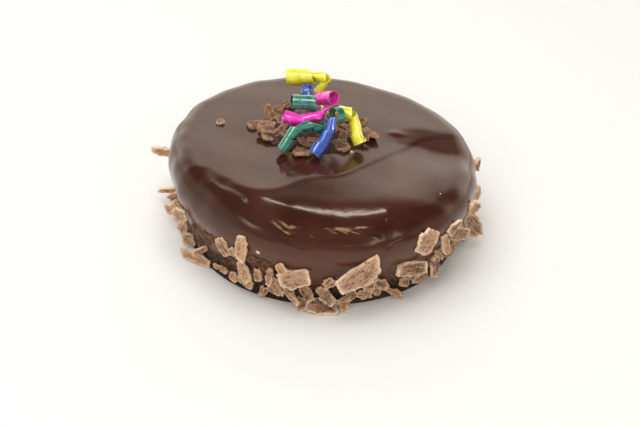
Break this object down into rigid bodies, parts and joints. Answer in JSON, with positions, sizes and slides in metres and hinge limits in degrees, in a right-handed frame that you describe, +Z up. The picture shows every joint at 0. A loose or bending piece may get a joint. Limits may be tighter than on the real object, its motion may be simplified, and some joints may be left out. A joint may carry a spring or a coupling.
{
  "type": "flourless chocolate cake",
  "caption": "Round chocolate cake under a poured glaze, with chocolate flakes pressed round its foot, a low heap of shavings on top and a tuft of curled foil ribbons.",
  "frame": {"origin": "middle of the flat underside, on the surface that the cake stands on", "axes": "+Z up; -Y towards the front that the picture shows; +X to the right of that view"},
  "size_m": [0.1691, 0.16, 0.0715],
  "materials": {
    "glaze": "dark chocolate glaze, glossy, with soft waves and a few bubbles",
    "shavings": "milk chocolate flakes, dull, with paler broken edges",
    "ribbon_yellow": "curled foil ribbon, glossy yellow",
    "ribbon_magenta": "curled foil ribbon, glossy magenta",
    "ribbon_teal": "curled foil ribbon, glossy teal",
    "ribbon_blue": "curled foil ribbon, glossy blue"
  },
  "bodies": {
    "root": {"cake": "glaze", "shavings": "shavings", "ribbon_yellow": "ribbon_yellow", "ribbon_magenta": "ribbon_magenta", "ribbon_teal": "ribbon_teal", "ribbon_blue": "ribbon_blue"}
  },
  "joints": []
}
